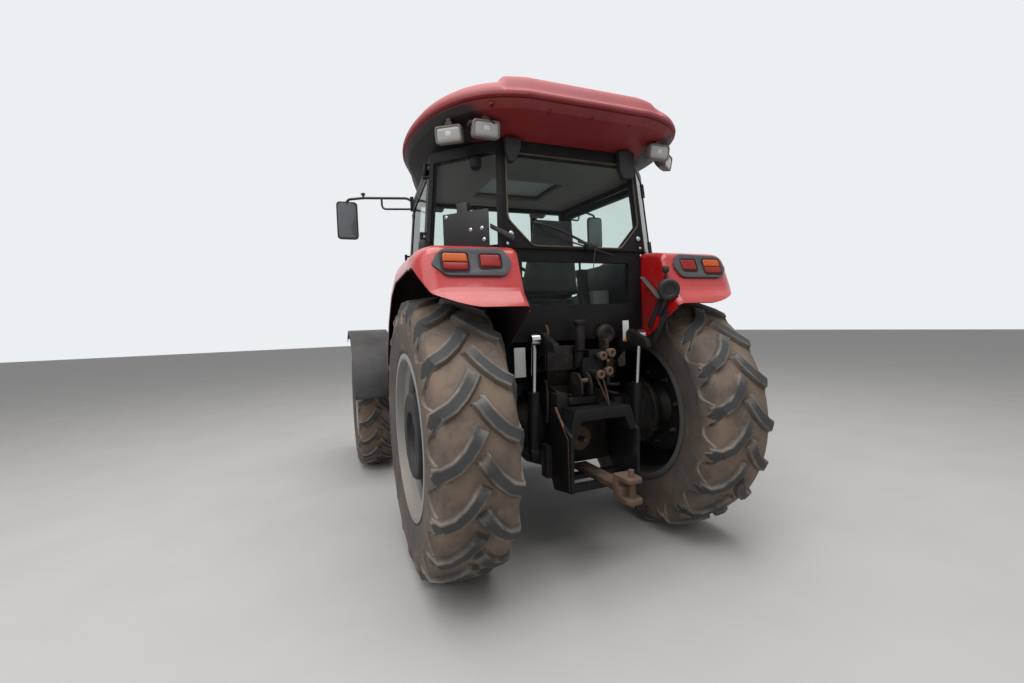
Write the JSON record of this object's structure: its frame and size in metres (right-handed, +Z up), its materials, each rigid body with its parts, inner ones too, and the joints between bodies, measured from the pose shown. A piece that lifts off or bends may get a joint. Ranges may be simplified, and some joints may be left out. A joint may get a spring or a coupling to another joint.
{
  "type": "farm tractor with cab",
  "caption": "Four-wheel-drive farm tractor with closed cab, lugged tyres, steered front axle, opening doors, lifting hood and rear lift arms.",
  "frame": {"origin": "on the ground below the middle of the tractor's bounding box, on its centre plane", "axes": "+X forward, +Y to the driver's left, +Z up"},
  "size_m": [4.3295, 2.7348, 2.92],
  "materials": {
    "tyre": "matt rubber with lugs",
    "wheel_silver": "satin silver paint",
    "cast_grey": "painted cast iron",
    "red_paint": "gloss red enamel",
    "roof_red": "faded red moulding",
    "black_frame": "satin black paint",
    "chassis_grey": "painted castings with dust",
    "black_plastic": "textured black moulding",
    "glass": "tinted glass",
    "lamp_grey": "grey moulding",
    "lamp_lens": "red and amber lens",
    "lamp_clear": "clear lens in a grey housing",
    "seat_fabric": "woven seat cloth",
    "trim_grey": "interior trim",
    "chrome": "ground chromed rod",
    "steel": "worn steel with rust"
  },
  "bodies": {
    "chassis": {"transmission": "chassis_grey", "rear_axle": "chassis_grey", "engine": "chassis_grey", "front_bolster": "chassis_grey", "front_axle": "chassis_grey", "steering_cylinder": "black_frame", "radiator": "black_frame", "side_tanks": "black_plastic", "exhaust": "black_frame", "steps": "black_frame", "mirrors": "black_plastic", "hood_stand": "black_frame", "cab_frame": "black_frame", "cab_glass": "glass", "cab_roof": "roof_red", "headliner": "trim_grey", "cab_floor": "black_frame", "cab_cowl": "black_frame", "seat_base": "black_plastic", "seat_pads": "seat_fabric", "dash": "trim_grey", "rear_fender_left": "red_paint", "rear_fender_right": "red_paint", "lamp_surrounds": "lamp_grey", "tail_lamps": "lamp_lens", "work_lamps": "lamp_clear", "control_box": "black_plastic", "drawbar_frame": "black_frame", "drawbar": "steel", "lift_housing": "chassis_grey", "lift_rams": "black_frame", "power_shaft": "steel", "top_link_bracket": "black_frame", "remote_valves": "black_frame"},
    "hood": {"hood": "red_paint", "grille": "black_plastic", "headlamps": "lamp_clear"},
    "door_left": {"door_left": "black_frame", "door_glass_left": "glass"},
    "door_right": {"door_right": "black_frame", "door_glass_right": "glass"},
    "steering_wheel": {"steering_wheel": "black_plastic"},
    "steering_rod": {"steering_rod": "chrome"},
    "knuckle_left": {"knuckle_left": "chassis_grey", "front_fender_left": "black_plastic"},
    "knuckle_right": {"knuckle_right": "chassis_grey", "front_fender_right": "black_plastic"},
    "front_wheel_left": {"front_tyre_left": "tyre", "front_rim_left": "wheel_silver"},
    "front_wheel_right": {"front_tyre_right": "tyre", "front_rim_right": "wheel_silver"},
    "rear_wheel_left": {"rear_tyre_left": "tyre", "rear_rim_left": "wheel_silver", "rear_weight_left": "cast_grey"},
    "rear_wheel_right": {"rear_tyre_right": "tyre", "rear_rim_right": "wheel_silver", "rear_weight_right": "cast_grey"},
    "lift_arms": {"lift_arms": "black_frame"},
    "lift_ram_rods": {"lift_ram_rods": "chrome"}
  },
  "joints": [
    {"name": "steer_left", "type": "hinge", "parent": "chassis", "child": "knuckle_left", "pos_m": [1.27, 0.79, 0.665], "axis": [0, 0, 1], "range_deg": [-40, 40]},
    {"name": "steer_right", "type": "hinge", "parent": "chassis", "child": "knuckle_right", "pos_m": [1.27, -0.79, 0.665], "axis": [0, 0, 1], "range_deg": [-40, 40]},
    {"name": "steering_rod_slide", "type": "slide", "parent": "chassis", "child": "steering_rod", "axis": [0, 1, 0], "range_m": [-0.1855, 0.1855]},
    {"name": "steering_wheel_turn", "type": "hinge", "parent": "chassis", "child": "steering_wheel", "pos_m": [-0.41, 0, 1.955], "axis": [-0.5299, 0, 0.848], "range_deg": [-360, 360]},
    {"name": "front_left_roll", "type": "hinge", "parent": "knuckle_left", "child": "front_wheel_left", "pos_m": [1.27, 1.046, 0.665], "axis": [0, 1, 0], "continuous": true},
    {"name": "front_right_roll", "type": "hinge", "parent": "knuckle_right", "child": "front_wheel_right", "pos_m": [1.27, -1.046, 0.665], "axis": [0, 1, 0], "continuous": true},
    {"name": "rear_left_roll", "type": "hinge", "parent": "chassis", "child": "rear_wheel_left", "pos_m": [-1.315, 0.843, 0.85], "axis": [0, 1, 0], "continuous": true},
    {"name": "rear_right_roll", "type": "hinge", "parent": "chassis", "child": "rear_wheel_right", "pos_m": [-1.315, -0.843, 0.85], "axis": [0, 1, 0], "continuous": true},
    {"name": "hood_lift", "type": "hinge", "parent": "chassis", "child": "hood", "pos_m": [0.131, 0, 1.7], "axis": [0, -1, 0], "range_deg": [0, 50]},
    {"name": "door_left_open", "type": "hinge", "parent": "chassis", "child": "door_left", "pos_m": [-1.194, 0.91271, 1.965], "axis": [0.0392, -0.0986, 0.9944], "range_deg": [0, 70]},
    {"name": "door_right_open", "type": "hinge", "parent": "chassis", "child": "door_right", "pos_m": [-1.194, -0.91271, 1.965], "axis": [-0.0392, -0.0986, -0.9944], "range_deg": [0, 70]},
    {"name": "lift_arms_raise", "type": "hinge", "parent": "chassis", "child": "lift_arms", "pos_m": [-1.505, 0, 1.235], "axis": [0, 1, 0], "range_deg": [-40, 3]},
    {"name": "lift_ram_slide", "type": "slide", "parent": "chassis", "child": "lift_ram_rods", "axis": [-0.102, 0, 0.9948], "range_m": [-0.161, 0.0125]}
  ],
  "couplings": [
    {"joint": "steer_right", "follows": "steer_left", "ratio": 1},
    {"joint": "steering_rod_slide", "follows": "steer_left", "m_per_rad": -0.265},
    {"joint": "steering_wheel_turn", "follows": "steer_left", "ratio": 9},
    {"joint": "lift_ram_slide", "follows": "lift_arms_raise", "m_per_rad": 0.23}
  ]
}
